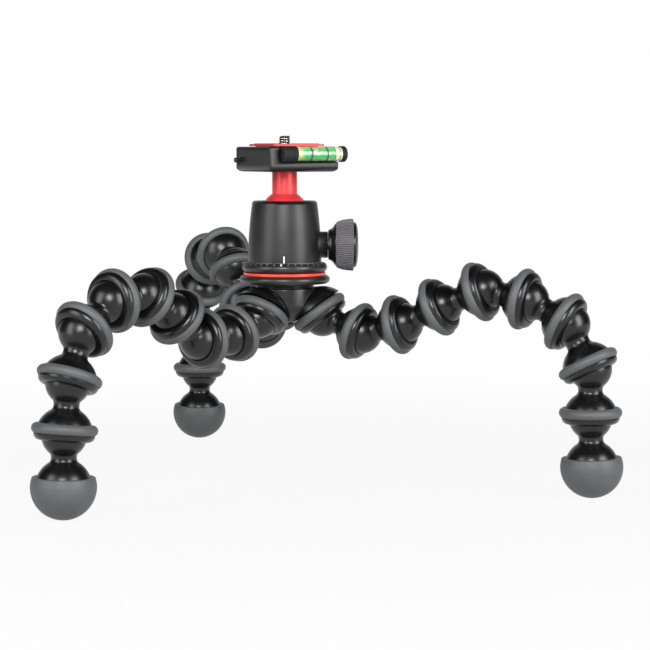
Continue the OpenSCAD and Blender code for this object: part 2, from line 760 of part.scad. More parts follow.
// The release plate slides in the clamp and carries the camera screw
module plate_outline(inset) {
    hull() for (x = [-1, 1], y = [0, 1])
        translate([
            clamp_shift + x * (plate_l / 2 - plate_corner - inset),
            plate_y + (y == 0 ? plate_corner + inset : plate_w - plate_corner - inset)
        ]) circle(plate_corner, $fn = hull_fn);
}
module plate() {
    color("#c8323a") at_clamp() difference() {
        union() {
            translate([0, 0, flange_z]) linear_extrude(flange_h) plate_outline(0);
            translate([clamp_shift, plate_y + plate_w, 0]) rotate([90, 0, 0])
                linear_extrude(plate_w) dovetail(0, flange_z);
        }
        translate([0, 0, pad_top - pad_h]) linear_extrude(pad_h) plate_outline(pad_margin - run_fit);
        translate([0, 0, dovetail_z - cut]) cylinder(r = camera_r + run_fit, h = clamp_h);
        translate([0, 0, dovetail_z - cut])
            cylinder(r = camera_head_r + run_fit, h = cut + plate_fit + camera_head_h + run_fit);
    }
}
module plate_pad() {
    color("#2b2b2c") at_clamp() difference() {
        translate([0, 0, pad_top - pad_h]) linear_extrude(pad_h) plate_outline(pad_margin);
        translate([0, 0, dovetail_z]) cylinder(r = camera_r + run_fit, h = clamp_h);
    }
}
module camera_screw() {
    color("silver") at_clamp() difference() {
        union() {
            translate([0, 0, camera_z]) cylinder(r = camera_head_r, h = camera_head_h);
            translate([0, 0, camera_z]) cylinder(r = camera_neck_r, h = pad_top - camera_z);
            translate([0, 0, pad_top]) cylinder(r = camera_r, h = camera_end - camera_tip - pad_top);
            translate([0, 0, camera_end - camera_tip])
                cylinder(r1 = camera_r, r2 = camera_r - camera_tip, h = camera_tip);
        }
        translate([-camera_head_r - cut, -slot_w / 2, camera_z - cut])
            cube([2 * (camera_head_r + cut), slot_w, slot_h + cut]);
    }
}

hub_body();
hub_rings();
hub_stud();
platform();
platform_screws();
accent_ring();
pan_base();
pan_washer();
pan_clip();
housing();
ball_seat();
ball_stem();
lock_spindle();
knob_washer();
knob_body();
knob_grip();
knob_cap();
clamp_body();
stem_screw();
release_button();
vial_tube();
vial_fluid();
vial_caps();
plate();
plate_pad();
camera_screw();
for (leg = [0:2], i = [0:link_count - 1])
    link(leg, i);
for (leg = [0:2])
    foot_link(leg);
for (leg = [0:2])
    foot(leg);
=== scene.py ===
import json
from math import atan2, cos, degrees, pi, radians, sin, sqrt
import bmesh
import bpy
from mathutils import Matrix, Vector


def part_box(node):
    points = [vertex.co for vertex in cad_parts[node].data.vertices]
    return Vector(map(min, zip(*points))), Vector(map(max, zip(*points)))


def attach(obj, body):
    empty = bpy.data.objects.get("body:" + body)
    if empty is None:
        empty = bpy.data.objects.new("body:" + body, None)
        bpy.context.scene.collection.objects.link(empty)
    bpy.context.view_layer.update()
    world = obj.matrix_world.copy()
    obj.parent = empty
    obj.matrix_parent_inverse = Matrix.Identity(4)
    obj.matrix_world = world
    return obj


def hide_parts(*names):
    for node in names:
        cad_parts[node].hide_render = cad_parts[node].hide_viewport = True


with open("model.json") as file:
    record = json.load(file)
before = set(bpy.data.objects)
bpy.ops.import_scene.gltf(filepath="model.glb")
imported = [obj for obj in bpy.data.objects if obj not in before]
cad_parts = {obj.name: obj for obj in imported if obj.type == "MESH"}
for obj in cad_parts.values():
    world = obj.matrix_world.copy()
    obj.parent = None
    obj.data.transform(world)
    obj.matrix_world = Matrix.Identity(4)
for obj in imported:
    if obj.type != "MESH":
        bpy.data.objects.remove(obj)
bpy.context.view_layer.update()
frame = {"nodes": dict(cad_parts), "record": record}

# Studio: a white table that runs back into a white wall, seen by a long lens from just above the head.
# Soft boxes stand to the left and right and above the camera, as for a catalogue picture.


class Wire:
    """A socket of a node tree; sums on it add Math nodes."""

    def __init__(self, graph, socket):
        self.graph, self.socket = graph, socket

    def maths(self, operation, first, second):
        return self.graph.node("ShaderNodeMath", {"operation": operation}, {0: first, 1: second})

    def __add__(self, other):
        return self.maths("ADD", self, other)

    def __sub__(self, other):
        return self.maths("SUBTRACT", self, other)

    def __rsub__(self, other):
        return self.maths("SUBTRACT", other, self)

    def __mul__(self, other):
        return self.maths("MULTIPLY", self, other)

    def __truediv__(self, other):
        return self.maths("DIVIDE", self, other)

    __radd__ = __add__
    __rmul__ = __mul__

    def out(self, name):
        return Wire(self.graph, self.socket.node.outputs[name])


class Graph:
    """A node tree, for a finish or for a shape."""

    def __init__(self, tree):
        self.tree = tree

    def node(self, kind, settings=None, sockets=None, out=0):
        made = self.tree.nodes.new(kind)
        for name, value in (settings or {}).items():
            if name == "stops":
                stops = made.color_ramp.elements
                while len(stops) < len(value):
                    stops.new(1.0)
                for stop, (place, colour) in zip(stops, value):
                    stop.position, stop.color = place, (*colour, 1.0)
            else:
                setattr(made, name, value)
        for name, value in (sockets or {}).items():
            if isinstance(value, Wire):
                self.tree.links.new(value.socket, made.inputs[name])
            else:
                made.inputs[name].default_value = value
        return Wire(self, made.outputs[out]) if len(made.outputs) else made

    def noise(self, scale, detail, roughness=0.5):
        """Noise on the piece's own coordinates."""
        spot = self.node("ShaderNodeTexCoord", out="Object")
        return self.node("ShaderNodeTexNoise", {}, {
            "Vector": spot, "Scale": scale, "Detail": detail, "Roughness": roughness})

    def ramp(self, value, *stops):
        """A colour for each value, between stops of (place, colour)."""
        return self.node("ShaderNodeValToRGB", {"stops": stops}, {0: value})

    def bump(self, height, strength, distance):
        """Normals bent by a height."""
        return self.node("ShaderNodeBump", {}, {"Strength": strength, "Distance": distance, "Height": height})


table_finish = bpy.data.materials.new("white_table")
table_finish.use_nodes = True
table_finish.node_tree.nodes.clear()
g = Graph(table_finish.node_tree)
rays = g.node("ShaderNodeLightPath")
seen = g.node("ShaderNodeMath", {"operation": "MAXIMUM"}, {
    0: rays, 1: g.node("ShaderNodeMath", {"operation": "MAXIMUM"}, {
        0: rays.out("Is Glossy Ray"), 1: rays.out("Is Transmission Ray")})})
far = g.node("ShaderNodeVectorMath", {"operation": "LENGTH"},
             {0: g.node("ShaderNodeTexCoord", out="Object")}, out="Value")
fade = g.node("ShaderNodeMapRange", {"interpolation_type": "SMOOTHSTEP"},
              {"Value": far, "From Min": 0.1, "From Max": 0.6, "To Min": 0.92, "To Max": 1.0})
paper = g.node("ShaderNodeBsdfDiffuse", {}, {"Color": (0.42, 0.42, 0.42, 1)})
glow = g.node("ShaderNodeEmission", {}, {"Color": (1, 1, 1, 1), "Strength": 1.0})
g.node("ShaderNodeOutputMaterial", {}, {
    "Surface": g.node("ShaderNodeMixShader", {}, {0: fade * seen, 1: paper, 2: glow})})
table_mesh = bpy.data.meshes.new("white_table")
table_mesh.from_pydata([(-6, -6, 0), (6, -6, 0), (6, 6, 0), (-6, 6, 0)], [], [(0, 1, 2, 3)])
table_mesh.materials.append(table_finish)
table = bpy.data.objects.new("white_table", table_mesh)
bpy.context.scene.collection.objects.link(table)

world = bpy.data.worlds.new("white_wall")
bpy.context.scene.world = world
world.use_nodes = True
world.node_tree.nodes.clear()
g = Graph(world.node_tree)
rays = g.node("ShaderNodeLightPath")
side = g.node("ShaderNodeSeparateXYZ", {}, {0: g.node("ShaderNodeTexCoord", out="Generated")})
wall = g.node("ShaderNodeMapRange", {"interpolation_type": "SMOOTHSTEP"},
              {"Value": side.out("Y"), "From Min": 0.45, "From Max": 0.98, "To Min": 0.01, "To Max": 0.8})
g.node("ShaderNodeOutputWorld", {}, {"Surface": g.node("ShaderNodeMixShader", {}, {
    0: rays,
    1: g.node("ShaderNodeBackground", {}, {"Color": (1, 1, 1, 1), "Strength": wall}),
    2: g.node("ShaderNodeBackground", {}, {"Color": (1, 1, 1, 1), "Strength": 1.0})})})

for name, spot, wide, deep, watts in (
        ("left_box", (-1.02, -0.8, 0.52), 0.6, 1.0, 9.5),
        ("right_box", (1.02, -0.8, 0.52), 0.6, 1.0, 17.0),
        ("front_box", (-0.1, -1.3, 0.66), 0.5, 0.5, 15.0)):
    light = bpy.data.lights.new(name, "AREA")
    light.shape, light.size, light.size_y, light.energy = "RECTANGLE", wide, deep, watts
    lamp = bpy.data.objects.new(name, light)
    lamp.location = spot
    lamp.rotation_euler = (Vector((0, 0, 0.12)) - Vector(spot)).to_track_quat("-Z", "Y").to_euler()
    bpy.context.scene.collection.objects.link(lamp)

camera_data = bpy.data.cameras.new("camera")
camera_data.lens, camera_data.sensor_width = 111.953, 36.0
camera = bpy.data.objects.new("camera", camera_data)
joints = {joint["name"]: joint for joint in frame["record"]["behaviour"]["joints"]}
head_x, head_y = joints["head_pan"]["pos_m"][:2]
camera.location = (head_x + 0.02185, head_y - 1.09586, 0.17657)
camera.rotation_euler = (radians(90 - 4.948), 0, 0)
bpy.context.scene.collection.objects.link(camera)
bpy.context.scene.camera = camera
bpy.context.scene.view_settings.view_transform = "Standard"

# Links: each is moulded in glossy black plastic as one piece, a ball above a waisted neck and a cup below.
# The ball of the next link snaps past the cup's lip; eight of them make a leg.
MM = 0.001
LEGS = ("right", "left", "rear")
ball_r, socket_r, cup_r, link_len = 11.0, 11.15, 13.95, 25.2
neck_r, neck_fillet, lip_r, lip_len, lip_back = 6.2, 2.6, 14.75, 3.2, 0.4
foot_len, foot_ball_r, foot_r = 24.8, 13.7, 16.0


def arc(centre, radius, start, end, steps):
    """Points on a circle, in (radius, height), between two angles in degrees."""
    turns = [radians(start + (end - start) * i / steps) for i in range(steps + 1)]
    return [(centre[0] + radius * cos(t), centre[1] + radius * sin(t)) for t in turns]


def rounded(corners, steps=6):
    """A chain of (r, z) or (r, z, fillet) corners with the fillets drawn in."""
    chain = []
    for i, corner in enumerate(corners):
        here = Vector(corner[:2])
        if len(corner) == 2:
            chain.append(tuple(here))
            continue
        before = (Vector(corners[i - 1][:2]) - here).normalized()
        after = (Vector(corners[(i + 1) % len(corners)][:2]) - here).normalized()
        half = before.angle(after) / 2
        cut = corner[2] * cos(half) / sin(half)
        centre = here + (before + after).normalized() * corner[2] / sin(half)
        first, last = here + before * cut - centre, here + after * cut - centre
        sweep = first.angle_signed(last)
        chain += [tuple(centre + first @ Matrix.Rotation(sweep * k / steps, 2)) for k in range(steps + 1)]
    return chain


def lathe(name, profile, closed=False, steps=112):
    """A mesh turned from an (r, z) chain in millimetres about the local Z axis."""
    mesh = bpy.data.meshes.new(name)
    shape = bmesh.new()
    loops = []
    for r, z in profile:
        if r < 1e-6:
            loops.append([shape.verts.new((0, 0, z * MM))])
        else:
            loops.append([shape.verts.new((r * MM * cos(2 * pi * k / steps), r * MM * sin(2 * pi * k / steps),
                                           z * MM)) for k in range(steps)])
    pairs = list(zip(loops, loops[1:])) + ([(loops[-1], loops[0])] if closed else [])
    for low, high in pairs:
        for k in range(steps):
            n = (k + 1) % steps
            corners = [low[k % len(low)], low[n % len(low)], high[n % len(high)], high[k % len(high)]]
            shape.faces.new(list(dict.fromkeys(corners)))
    bmesh.ops.recalc_face_normals(shape, faces=shape.faces)
    shape.to_mesh(mesh)
    shape.free()
    mesh.shade_smooth()
    mesh.set_sharp_from_angle(angle=radians(38))
    return mesh


def waist(far_r, far_z):
    """The ball and its neck, with a fillet at each end, and the angle where the second ball goes on."""
    side = neck_r + neck_fillet
    low, high = (sqrt((r + neck_fillet) ** 2 - side ** 2) for r in (ball_r, far_r))
    near, far = degrees(atan2(low, side)), degrees(atan2(high, side))
    chain = [(0, -ball_r)] + arc((0, 0), ball_r, -90, near, 26)[1:]
    chain += arc((side, low), neck_fillet, 180 + near, 180, 6)[1:]
    return chain + arc((side, far_z - high), neck_fillet, 180, 180 - far, 6), -far


def new_finish(name):
    """A material with its graph and a call that sets its shader's sockets."""
    material = bpy.data.materials.new(name)
    material.use_nodes = True
    graph = Graph(material.node_tree)
    shader = material.node_tree.nodes["Principled BSDF"]

    def shade(**sockets):
        for socket, value in sockets.items():
            socket = shader.inputs[socket.replace("_", " ")]
            if isinstance(value, Wire):
                material.node_tree.links.new(value.socket, socket)
            else:
                socket.default_value = value

    return material, graph, shade


def new_piece(name, mesh, finish, body, slot, *nodes):
    """An object at the origin that rides on a body and stands for CAD nodes."""
    mesh.materials.clear()
    mesh.materials.append(finish)
    made = bpy.data.objects.new(name, mesh)
    bpy.context.scene.collection.objects.link(made)
    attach(made, body)
    if nodes:
        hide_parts(*nodes)
    return made


def new_shape(name, *inputs):
    """An empty Geometry Nodes tree with named inputs after the geometry."""
    tree = bpy.data.node_groups.new(name, "GeometryNodeTree")
    tree.interface.new_socket("Geometry", in_out="INPUT", socket_type="NodeSocketGeometry")
    for label, kind in inputs:
        tree.interface.new_socket(label, in_out="INPUT", socket_type="NodeSocket" + kind)
    tree.interface.new_socket("Geometry", in_out="OUTPUT", socket_type="NodeSocketGeometry")
    graph = Graph(tree)
    return graph, graph.node("NodeGroupInput")


def end_shape(graph, geometry, finish):
    """Realize Instances, Set Material and the tree's output."""
    whole = graph.node("GeometryNodeRealizeInstances", {}, {"Geometry": geometry})
    painted = graph.node("GeometryNodeSetMaterial", {}, {"Geometry": whole, "Material": finish})
    graph.node("NodeGroupOutput", {}, {"Geometry": painted})


def grown(name, mesh, graph, **values):
    """The plain mesh that a tree makes from a start mesh and its named inputs."""
    start = bpy.data.objects.new(name, mesh)
    bpy.context.scene.collection.objects.link(start)
    modifier = start.modifiers.new("shape", "NODES")
    modifier.node_group = graph.tree
    for item in graph.tree.interface.items_tree:
        if item.in_out == "INPUT" and item.name in values:
            modifier[item.identifier] = values[item.name]
    ready = start.evaluated_get(bpy.context.evaluated_depsgraph_get())
    made = bpy.data.meshes.new_from_object(ready)
    start.modifiers.remove(modifier)
    bpy.data.objects.remove(start)
    made.name = name
    return made


black_plastic, g, shade = new_finish("black_plastic")
flow = g.noise(140.0, 2.0, 0.4)
grain = g.noise(2600.0, 2.0)
shade(Base_Color=g.ramp(flow, (0.3, (0.0025, 0.0025, 0.003)), (0.7, (0.005, 0.005, 0.0055))),
      Roughness=0.23 + 0.08 * flow + 0.05 * grain,
      Normal=g.bump(flow + 0.3 * grain, 0.25, 0.00005))

legs = {}
for leg in LEGS:
    names = [f"{leg}_hip"] + [f"{leg}_bend_{i}" for i in range(1, 8)] + [f"{leg}_ankle"]
    path = [Vector(joints[name]["pos_m"]) for name in names]
    outward = (path[-1] - path[0]) * Vector((1, 1, 0))
    drop = path[-1].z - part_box(f"{leg}_foot")[0][2] - foot_r * MM
    step = sqrt((foot_len * MM) ** 2 - drop ** 2)
    path.append(path[-1] + outward.normalized() * step - Vector((0, 0, drop)))
    line = bpy.data.meshes.new(f"{leg}_joints")
    line.from_pydata(path[:-1], [(i, i + 1) for i in range(8)], [])
    aims = line.attributes.new("aim", "FLOAT_VECTOR", "POINT")
    for i in range(9):
        aims.data[i].vector = (path[i + 1] - path[i]).normalized()
    legs[leg] = line

chain, dome_start = waist(cup_r, link_len)
dome = arc((0, link_len), cup_r, dome_start, -1.8, 22)
lip_core, lip_low, lip_top = lip_r - lip_len, link_len - lip_back, link_len - lip_back + lip_len
lip = [(lip_r - 0.12, lip_low)] + arc((lip_core, lip_low), lip_len, 3, 90, 14)
mouth = [(sqrt(socket_r ** 2 - (z - link_len) ** 2), z) for z in (lip_top, lip_top - 0.6)]
lip += rounded([lip[-1], (*mouth[0], 0.2), mouth[1]], 3)[1:-1]
hole = arc((0, link_len), socket_r, degrees(atan2(mouth[1][1] - link_len, mouth[1][0])), -90, 20)
link_shape = lathe("link_shape", chain + dome[1:] + lip + hole[:-1] + [(0, link_len - socket_r)])
link_form = bpy.data.objects.new("link_form", link_shape)
bpy.context.scene.collection.objects.link(link_form)


def along_leg(name, finish):
    """A tree that sets one turned form on one joint of a leg, turned along the chain."""
    tree, start = new_shape(name, ("Form", "Object"), ("Which", "Int"))
    form = tree.node("GeometryNodeObjectInfo", {"transform_space": "ORIGINAL"}, {"Object": start.out("Form")},
                     out="Geometry")
    chosen = tree.node("FunctionNodeCompare", {"data_type": "INT", "operation": "EQUAL"},
                       {2: tree.node("GeometryNodeInputIndex"), 3: start.out("Which")})
    aim = tree.node("GeometryNodeInputNamedAttribute", {"data_type": "FLOAT_VECTOR"}, {"Name": "aim"})
    turn = tree.node("FunctionNodeAlignRotationToVector", {"axis": "Z"}, {"Vector": aim})
    end_shape(tree, tree.node("GeometryNodeInstanceOnPoints", {}, {
        "Points": start, "Selection": chosen, "Instance": form, "Rotation": turn}), finish)
    return tree


link_tree = along_leg("link_on_leg", black_plastic)
for leg in LEGS:
    for i in range(8):
        mesh = grown(f"{leg}_link_{i + 1}_body", legs[leg], link_tree, Form=link_form, Which=i)
        new_piece(mesh.name, mesh, black_plastic, f"{leg}_link_{i + 1}", "black_gloss", f"{leg}_link_{i + 1}")

# Grip rings: a band of soft grey rubber stretched over every cup behind its lip, also over the hub's three.
# It is a full round bead, matte and very finely grained from the mould.
grey_rubber, g, shade = new_finish("grey_rubber")
cloud = g.noise(90.0, 3.0)
pores = g.noise(3200.0, 3.0, 0.6)
shade(Base_Color=g.ramp(0.75 * cloud + 0.25 * pores, (0.3, (0.07, 0.077, 0.08)), (0.7, (0.092, 0.1, 0.104))),
      Roughness=0.44 + 0.16 * pores,
      Normal=g.bump(pores, 0.35, 0.00006))
ring_profile = arc((13.3, link_len - 2.85), 2.7, -97, 62, 26) + arc((0, link_len), 14.0, -2, -22.9, 8)
ring_form = bpy.data.objects.new("ring_form", lathe("ring_shape", ring_profile, closed=True))
bpy.context.scene.collection.objects.link(ring_form)
ring_tree = along_leg("ring_on_leg", grey_rubber)
for leg in LEGS:
    for i in range(8):
        mesh = grown(f"{leg}_ring_{i + 1}", legs[leg], ring_tree, Form=ring_form, Which=i)
        new_piece(mesh.name, mesh, grey_rubber, f"{leg}_link_{i + 1}", "grey_rubber")

# Feet: the last piece of a leg is a ball, a neck and a larger ball in black plastic.
# A thick cup of the same grey rubber is moulded over the lower ball and stands on the table.
foot_rim = 4.8
chain, dome_start = waist(foot_ball_r, foot_len)
foot_form = bpy.data.objects.new("foot_form", lathe(
    "foot_shape", chain + arc((0, foot_len), foot_ball_r, dome_start, 90, 30)[1:-1] + [(0, foot_len + foot_ball_r)]))
inner = foot_ball_r + 0.05
rim_in, rim_out = sqrt(inner ** 2 - foot_rim ** 2), sqrt(foot_r ** 2 - foot_rim ** 2)
cover = [(0, foot_len + inner)] + arc((0, foot_len), inner, 90, atan2(-foot_rim, rim_in) * 180 / pi, 26)[1:-1]
cover += rounded([(rim_in, foot_len - foot_rim + 0.4), (rim_in + 0.1, foot_len - foot_rim, 0.3),
                  (rim_out - 0.05, foot_len - foot_rim, 0.7), (rim_out + 0.45, foot_len - foot_rim + 2.2)])
cover += arc((0, foot_len), foot_r, atan2(-foot_rim + 2.6, foot_r - 0.1) * 180 / pi, 90, 30)[1:-1]
cover += [(0, foot_len + foot_r)]
cover_form = bpy.data.objects.new("cover_form", lathe("cover_shape", cover))
for form in (foot_form, cover_form):
    bpy.context.scene.collection.objects.link(form)
for leg in LEGS:
    mesh = grown(f"{leg}_foot_ball", legs[leg], link_tree, Form=foot_form, Which=8)
    new_piece(mesh.name, mesh, black_plastic, f"{leg}_foot", "black_gloss", f"{leg}_foot_link")
    mesh = grown(f"{leg}_foot_cover", legs[leg], ring_tree, Form=cover_form, Which=8)
    new_piece(mesh.name, mesh, grey_rubber, f"{leg}_foot", "grey_rubber", f"{leg}_foot")
for form in (link_form, ring_form, foot_form, cover_form):
    bpy.data.objects.remove(form)

# Hub: black mouldings, a round core with rounded rooms cut into it, and a socket cup in front of a dome in each room.
# It carries a grip ring on every cup, and its front face between two cups is bare.


def cad_copy(name, *nodes, sharp=30, flat=False):
    """The joined mesh of CAD nodes, shaded smooth; flat sides can be kept flat up to their rounded edges."""
    shape = bmesh.new()
    for node in nodes:
        shape.from_mesh(frame["nodes"][node].data)
    bmesh.ops.remove_doubles(shape, verts=shape.verts, dist=1e-6)
    if flat:
        bmesh.ops.dissolve_limit(shape, angle_limit=radians(0.5), verts=shape.verts, edges=shape.edges)
    mesh = bpy.data.meshes.new(name)
    shape.to_mesh(mesh)
    shape.free()
    mesh.shade_smooth()
    mesh.set_sharp_from_angle(angle=radians(sharp))
    if not flat:
        return mesh
    start = bpy.data.objects.new(name, mesh)
    bpy.context.scene.collection.objects.link(start)
    weigh = start.modifiers.new("weigh", "WEIGHTED_NORMAL")
    weigh.keep_sharp, weigh.weight = True, 100
    made = bpy.data.meshes.new_from_object(start.evaluated_get(bpy.context.evaluated_depsgraph_get()))
    start.modifiers.remove(weigh)
    bpy.data.objects.remove(start)
    made.name = name
    return made


def cut_by(name, mesh, tools):
    """The mesh with other meshes taken out of it."""
    start = bpy.data.objects.new(name, mesh)
    bpy.context.scene.collection.objects.link(start)
    for tool in tools:
        other = bpy.data.objects.new("tool", tool)
        bpy.context.scene.collection.objects.link(other)
        step = start.modifiers.new("cut", "BOOLEAN")
        step.operation, step.solver, step.object = "DIFFERENCE", "EXACT", other
        made = bpy.data.meshes.new_from_object(start.evaluated_get(bpy.context.evaluated_depsgraph_get()))
        start.modifiers.remove(step)
        bpy.data.objects.remove(other)
        start.data = made
    bpy.data.objects.remove(start)
    made.name = name
    return made


new_piece("hub_moulding", cad_copy("hub_moulding", "hub_body"), black_plastic, "hub", "black_gloss", "hub_body")
socket_slope, dome_r, dome_front, room_gap = 54, 16.4, -6.2, 0.35
core_r, core_low, core_top = 18.8, 84.2, 102.5
room_r = dome_r + room_gap
domes, rooms = bmesh.new(), []
for leg in LEGS:
    centre = Vector(joints[f"{leg}_hip"]["pos_m"])
    heading = atan2(centre.y - head_y, centre.x - head_x)
    socket_at = (Matrix.Translation(centre) @ Matrix.Rotation(heading, 4, "Z")
                 @ Matrix.Rotation(radians(90 + socket_slope), 4, "Y"))
    cheek = [(0, -dome_r)] + arc((0, 0), dome_r, -90, -22, 24)[1:]
    dome_mesh = lathe("dome", cheek + [(12.0, dome_front), (0, dome_front)])
    dome_mesh.transform(socket_at)
    domes.from_mesh(dome_mesh)
    room = lathe("room", [(0, -room_r)] + arc((0, 0), room_r, -90, 90, 48)[1:-1] + [(0, room_r)], steps=96)
    room.transform(Matrix.Translation(centre))
    rooms.append(room)
mesh = bpy.data.meshes.new("hub_domes")
domes.to_mesh(mesh)
domes.free()
mesh.set_sharp_from_angle(angle=radians(38))
new_piece("hub_domes", mesh, black_plastic, "hub", "black_gloss")
core_gloss, g, shade = new_finish("core_gloss")
flow = g.noise(140.0, 2.0, 0.4)
grain = g.noise(2600.0, 2.0)
soft = g.node("ShaderNodeBevel", {"samples": 8}, {"Radius": 0.0007})
# Where the bevelled normal bends away from the true one, along the creases between core and rooms, the base colour
# turns light grey: a painted highlight on the crease lines.
bend = g.node("ShaderNodeVectorMath", {"operation": "DOT_PRODUCT"},
              {0: soft, 1: g.node("ShaderNodeNewGeometry").out("Normal")}, out="Value")
edge = g.node("ShaderNodeMapRange", {}, {"Value": bend, "From Min": 0.985, "From Max": 0.88})
shade(Base_Color=g.ramp(edge + 0.02 * flow, (0.0, (0.0035, 0.0035, 0.004)), (1.0, (0.12, 0.122, 0.125))),
      Roughness=0.24 + 0.08 * flow + 0.05 * grain,
      Normal=g.node("ShaderNodeBump", {}, {"Strength": 0.25, "Distance": 0.00005, "Height": flow + 0.3 * grain,
                                           "Normal": soft}))
bowl = rounded([(0, core_low), (12.0, core_low, 3.0), (core_r, 90.5, 7.0), (core_r, 102.3, 0.5), (15.6, core_top),
                (0, core_top)], 10)
core = lathe("hub_core", bowl, steps=160)
core.transform(Matrix.Translation((head_x, head_y, 0)))
mesh = cut_by("hub_core", core, rooms)
mesh.shade_smooth()
mesh.set_sharp_from_angle(angle=radians(30))
new_piece("hub_core", mesh, core_gloss, "hub", "black_gloss")
new_piece("hub_grips", cad_copy("hub_grips", "hub_rings"), grey_rubber, "hub", "grey_rubber", "hub_rings")

# Platform: a satin black disc with a full round edge and a collar under it, screwed down on the hub.
# A thin red anodised ring lies on it, under the panning base.
head_at, bore_r = Matrix.Translation((head_x, head_y, 0)), 4.85
hub_z, platform_z, accent_z, pan_z, washer_z, crown_z = 101.8, 104.5, 109.1, 110.5, 116.0, 116.3
satin_black, g, shade = new_finish("satin_black")
cloud = g.noise(120.0, 2.0)
grain = g.noise(2200.0, 2.0)
shade(Base_Color=g.ramp(cloud, (0.3, (0.014, 0.014, 0.014)), (0.7, (0.022, 0.022, 0.021))),
      Roughness=0.28 + 0.12 * grain,
      Normal=g.bump(grain, 0.3, 0.00004))


def turned(name, profile, closed=False, frame_at=head_at, steps=144):
    """A lathe mesh set on the head's axis."""
    mesh = lathe(name, profile, closed, steps)
    mesh.transform(frame_at)
    return mesh


disc = [(bore_r, hub_z), (16.2, hub_z, 0.3), (15.2, platform_z, 0.6)]
disc += arc((22.3, platform_z + 2.3), 2.2, -90, 90, 24)
disc += [(bore_r, accent_z)]
new_piece("platform_disc", turned("platform_disc", rounded(disc), closed=True), satin_black, "hub", "black_platform",
          "platform")

red_metal, g, shade = new_finish("red_anodised")
cloud = g.noise(160.0, 2.0)
blast = g.noise(3000.0, 2.0)
shade(Base_Color=g.ramp(cloud, (0.3, (0.66, 0.036, 0.042)), (0.7, (0.74, 0.05, 0.054))),
      Metallic=0.25, Roughness=0.34 + 0.12 * blast,
      Normal=g.bump(blast, 0.25, 0.00004))
accent_red, g, shade = new_finish("accent_red")
cloud = g.noise(200.0, 2.0)
shade(Base_Color=g.ramp(cloud, (0.3, (0.88, 0.06, 0.035)), (0.7, (0.92, 0.085, 0.055))),
      Roughness=0.3 + 0.1 * cloud)
accent = rounded([(bore_r, accent_z), (22.2, accent_z, 0.25), (22.2, pan_z, 0.25), (bore_r, pan_z)])
new_piece("red_ring", turned("red_ring", accent, closed=True), accent_red, "hub", "red_metal", "accent_ring")

# Panning base: a turned black disc with a full round edge; the head turns on its boss, held by a spring clip.
# Its shoulder carries a dark band with a painted scale, ten degrees a mark, one of them white; the band's extra
# darkness is painted shade from the gap under the crown.
shoulder, shoulder_r, boss_r, boss_top = (20.4, pan_z + 2.75), 2.65, 9.0, 121.7
pan = [(bore_r, pan_z), (shoulder[0], pan_z)] + arc(shoulder, shoulder_r, -90, 90, 24)
pan += rounded([(shoulder[0], washer_z), (boss_r, washer_z), (boss_r, boss_top, 0.3), (bore_r, boss_top)])
new_piece("pan_disc", turned("pan_disc", pan, closed=True), satin_black, "hub", "black_platform", "pan_base")
white_paint, g, shade = new_finish("white_paint")
speck = g.noise(4000.0, 2.0)
shade(Base_Color=g.ramp(speck, (0.3, (0.72, 0.72, 0.7)), (0.7, (0.86, 0.86, 0.84))),
      Roughness=0.45 + 0.1 * speck)


def mark_mesh(name, profile, half):
    """A closed (r, z) profile drawn a short way to both sides at the front of the head's axis."""
    mesh = bpy.data.meshes.new(name)
    shape = bmesh.new()
    rows = [[shape.verts.new((side * MM, -sqrt(r * r - side * side) * MM, z * MM)) for r, z in profile]
            for side in (-half, half)]
    for k in range(len(profile)):
        n = (k + 1) % len(profile)
        shape.faces.new((rows[0][k], rows[0][n], rows[1][n], rows[1][k]))
    for row in rows:
        shape.faces.new(row)
    bmesh.ops.recalc_face_normals(shape, faces=shape.faces)
    shape.to_mesh(mesh)
    shape.free()
    return mesh


mark_turn, mark_root, mark_half = Matrix.Rotation(radians(-4), 4, "Z"), 2.55, 0.36
white_mark = mark_mesh("pan_mark", arc(shoulder, 2.72, 38, 84, 8) + arc(shoulder, mark_root, 84, 38, 8), mark_half)
white_mark.transform(head_at @ mark_turn)
new_piece("pan_mark", white_mark, white_paint, "hub", "black_platform")
slot_black, g, shade = new_finish("slot_black")
speck = g.noise(2500.0, 2.0)
shade(Base_Color=g.ramp(speck, (0.3, (0.001, 0.001, 0.001)), (0.7, (0.003, 0.003, 0.003))),
      Roughness=0.7 + 0.1 * speck)
# The band is the shoulder's own black, drawn darker and duller than the disc as painted shade of the gap under the
# crown.
band = arc(shoulder, 2.68, 42, 88, 10) + arc(shoulder, mark_root, 88, 42, 10)
new_piece("scale_band", turned("scale_band", band, closed=True), slot_black, "hub", "black_platform")
grey_paint, g, shade = new_finish("grey_paint")
speck = g.noise(4000.0, 2.0)
shade(Base_Color=g.ramp(speck, (0.3, (0.16, 0.16, 0.155)), (0.7, (0.24, 0.24, 0.23))),
      Roughness=0.5 + 0.1 * speck)
tick = mark_mesh("scale_tick", arc(shoulder, 2.71, 46, 84, 6) + arc(shoulder, mark_root, 84, 46, 6), 0.3)
tick_form = bpy.data.objects.new("tick_form", tick)
bpy.context.scene.collection.objects.link(tick_form)
tick_tree, start = new_shape("ticks_on_ring", ("Form", "Object"), ("Count", "Int"))
form = tick_tree.node("GeometryNodeObjectInfo", {"transform_space": "ORIGINAL"}, {"Object": start.out("Form")},
                      out="Geometry")
ring = tick_tree.node("GeometryNodeMeshCircle", {}, {"Vertices": start.out("Count"), "Radius": 0.001 * MM})
turn = tick_tree.node("FunctionNodeAlignRotationToVector", {"axis": "Y"},
                      {"Vector": tick_tree.node("GeometryNodeInputPosition")})
end_shape(tick_tree, tick_tree.node("GeometryNodeInstanceOnPoints", {}, {
    "Points": ring, "Instance": form, "Rotation": turn}), grey_paint)
mesh = grown("pan_scale", bpy.data.meshes.new("pan_scale"), tick_tree, Form=tick_form, Count=36)
bpy.data.objects.remove(tick_form)
mesh.transform(head_at @ mark_turn)
new_piece("pan_scale", mesh, grey_paint, "hub", "black_platform")

